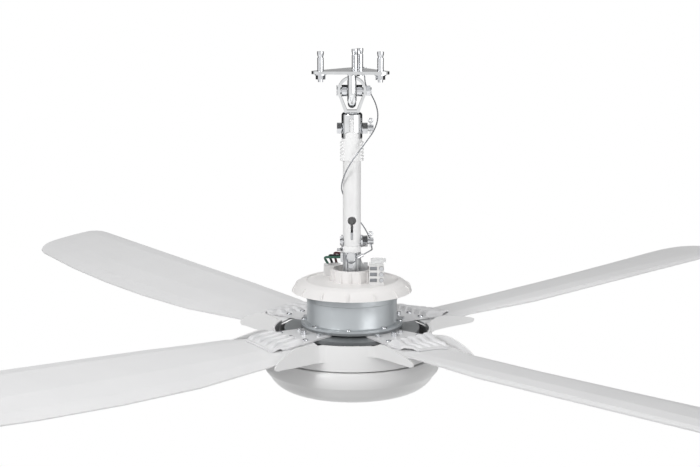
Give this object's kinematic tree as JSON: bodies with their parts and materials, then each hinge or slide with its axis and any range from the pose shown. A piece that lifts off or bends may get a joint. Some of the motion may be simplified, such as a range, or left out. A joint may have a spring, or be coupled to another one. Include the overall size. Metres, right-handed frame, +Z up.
{
  "type": "ceiling fan",
  "caption": "Ceiling fan on a hooked down rod, with cambered blades on ribbed irons, a fixed top cover, and a lower bowl whose skirt flares into wings beside the blades.",
  "frame": {"origin": "middle of the ceiling plate's top face, which lies against the ceiling", "axes": "+Z up along the fan's axis, +X to the right of the front view, front faces -Y"},
  "size_m": [1.1304, 1.1304, 0.4182],
  "materials": {
    "plate_paint": "white powder coat",
    "zinc": "bright zinc",
    "hanger_chrome": "bright plated",
    "pipe_metal": "pearl grey paint",
    "roller_rubber": "matt",
    "sleeve_plastic": "fine matt",
    "cover_plastic": "semi gloss",
    "terminal_plastic": "matt",
    "flap_plastic": "clear moulded plastic",
    "lead_green": "smooth insulation",
    "lead_black": "smooth insulation",
    "lead_brown": "smooth insulation",
    "wire_rope": "twisted strands",
    "motor_paint": "satin",
    "blade_plastic": "semi gloss",
    "iron_metal": "satin",
    "bowl_plastic": "gloss",
    "pan_paint": "matt black",
    "bearing_steel": "ground",
    "core_steel": "stacked sheets",
    "magnet": "ground ferrite",
    "copper": "enamelled wire",
    "board": "lacquered"
  },
  "bodies": {
    "root": {"ceiling_plate": "plate_paint", "anchor_studs": "zinc", "anchor_sleeves": "zinc", "anchor_washers": "zinc", "anchor_nuts": "zinc", "hook_bolt": "hanger_chrome", "wire_eye": "zinc"},
    "hanger": {"hanger_roller": "roller_rubber", "roller_axle": "zinc", "axle_spacers": "zinc", "axle_nut": "zinc", "shackle": "hanger_chrome", "down_pipe": "pipe_metal", "ribbed_sleeve": "sleeve_plastic", "upper_bolt": "zinc", "lower_bolt": "zinc", "lower_washer": "zinc", "castle_nuts": "zinc", "split_pins": "zinc", "motor_shaft": "bearing_steel", "shaft_coupler": "sleeve_plastic", "grub_screw": "zinc", "shaft_block": "iron_metal", "block_screw": "zinc", "top_cover": "cover_plastic", "terminal_block": "terminal_plastic", "terminal_screws": "zinc", "lead_box": "terminal_plastic", "driver_board": "board", "lead_green": "lead_green", "lead_black": "lead_black", "lead_brown": "lead_brown", "safety_wire": "wire_rope", "wire_loop": "wire_rope", "wire_ferrule": "zinc", "upper_bearing": "bearing_steel", "lower_bearing": "bearing_steel", "stator_core": "core_steel", "stator_coils": "copper"},
    "rotor": {"motor_cap": "motor_paint", "motor_housing": "motor_paint", "motor_base": "motor_paint", "magnet_ring": "magnet", "motor_screws": "zinc", "iron_bolts": "zinc", "blade_screws": "zinc", "skirt": "bowl_plastic", "mounting_pan": "pan_paint", "pan_screws": "zinc", "dome": "bowl_plastic", "blade_iron_back_right": "iron_metal", "blade_back_right": "blade_plastic", "blade_iron_back_left": "iron_metal", "blade_back_left": "blade_plastic", "blade_iron_front_left": "iron_metal", "blade_front_left": "blade_plastic", "blade_iron_front_right": "iron_metal", "blade_front_right": "blade_plastic"},
    "flap": {"terminal_flap": "flap_plastic"}
  },
  "joints": [
    {"name": "hanger_swing", "type": "hinge", "parent": "root", "child": "hanger", "pos_m": [0, 0, -0.0245], "axis": [1, 0, 0], "range_deg": [-8, 8], "deforming": ["safety_wire"]},
    {"name": "rotor_spin", "type": "hinge", "parent": "hanger", "child": "rotor", "pos_m": [0, 0, -0.3], "axis": [0, 0, 1], "continuous": true},
    {"name": "flap_hinge", "type": "hinge", "parent": "hanger", "child": "flap", "pos_m": [0.0296, -0.0199, -0.2307], "axis": [1, 0, 0], "range_deg": [-65, 40]}
  ]
}
